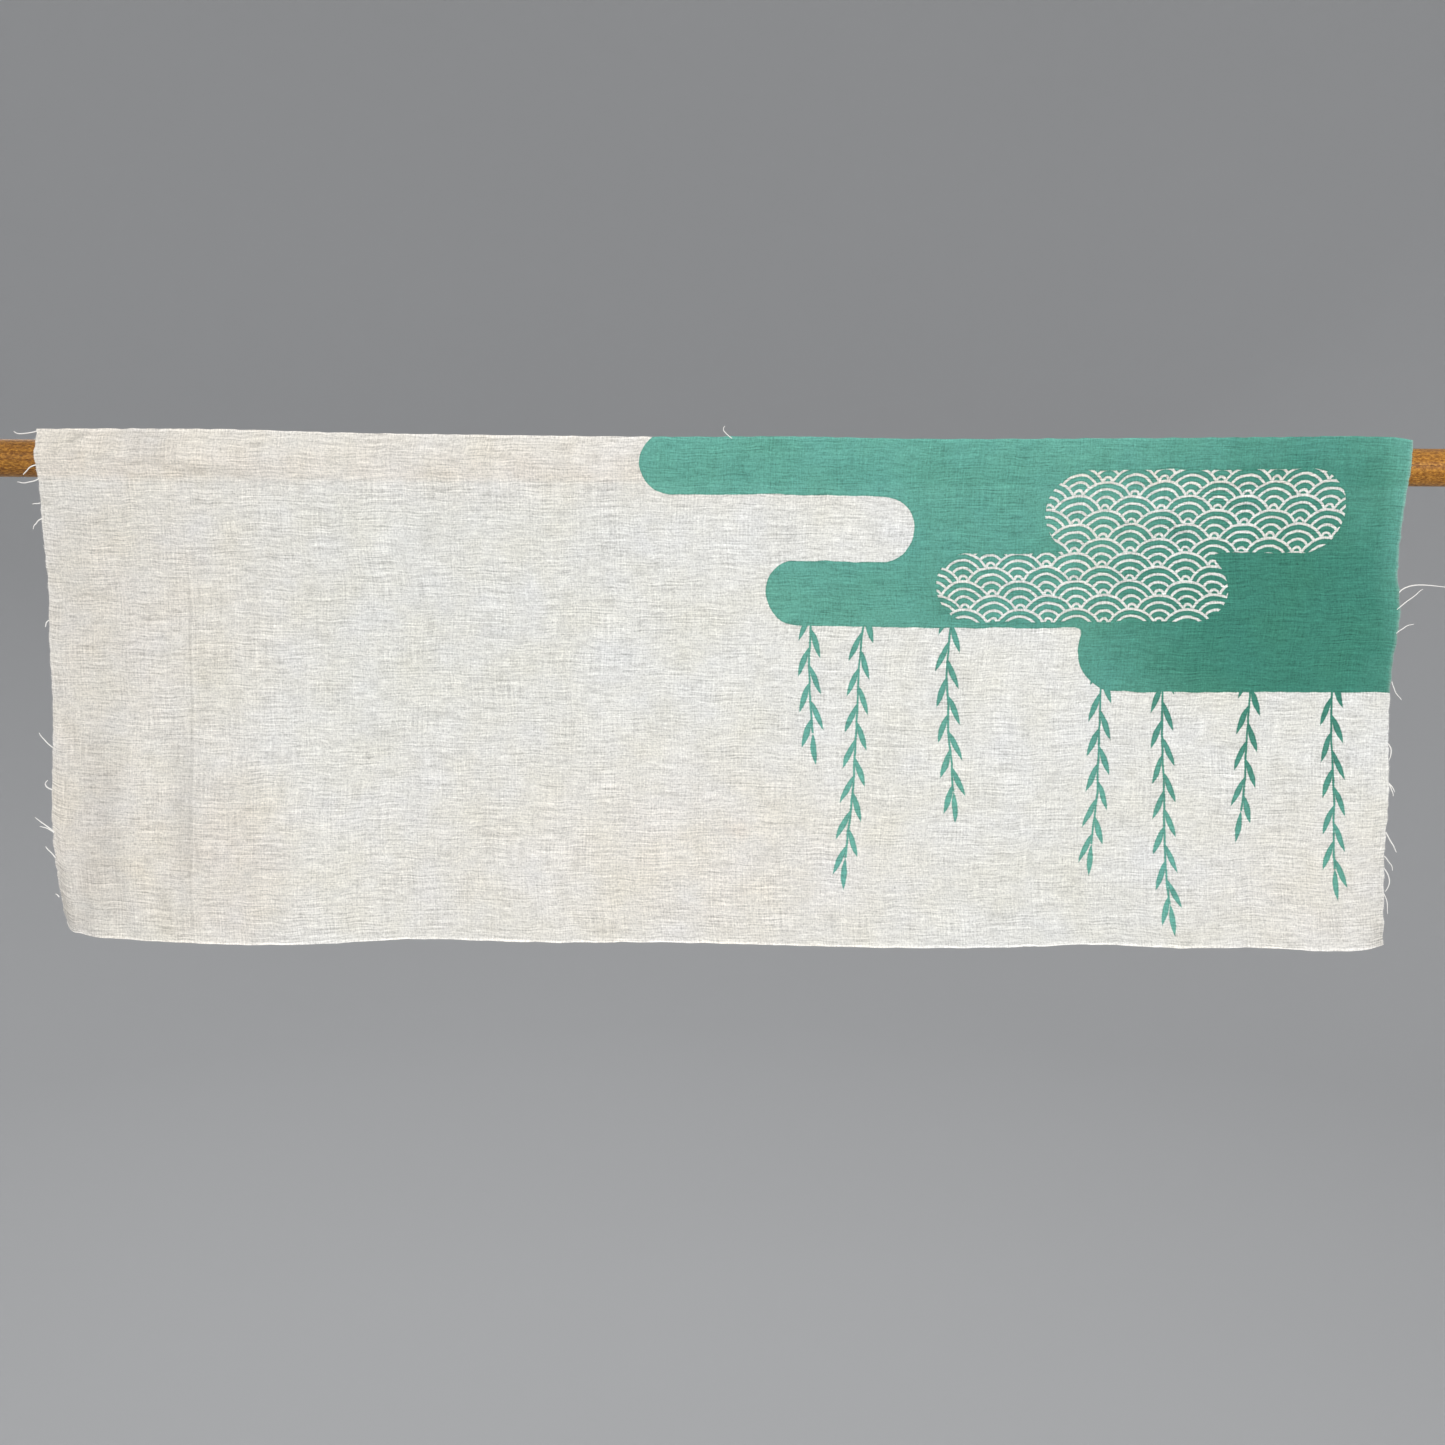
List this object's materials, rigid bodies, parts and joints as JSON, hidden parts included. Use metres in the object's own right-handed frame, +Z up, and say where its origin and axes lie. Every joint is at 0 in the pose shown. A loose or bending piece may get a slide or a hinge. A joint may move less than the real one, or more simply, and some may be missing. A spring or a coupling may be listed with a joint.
{
  "type": "tenugui towel hung on a wooden rod",
  "caption": "Thin cotton hand towel hung flat in a single layer by its long top edge from a plain round wooden rod, with raw cut ends and soft waves.",
  "frame": {"origin": "half-way along the rod, on its axis", "axes": "+X along the rod to the viewer's right, +Y from the cloth's face back through the rod, +Z up"},
  "size_m": [1.1, 0.0354, 0.3449],
  "materials": {
    "cotton": "matt undyed cotton with a green dyed field, slubby plain weave",
    "rod_wood": "fine-grained hardwood, oiled, low sheen"
  },
  "bodies": {
    "root": {"towel": "cotton", "rod": "rod_wood"}
  },
  "joints": []
}
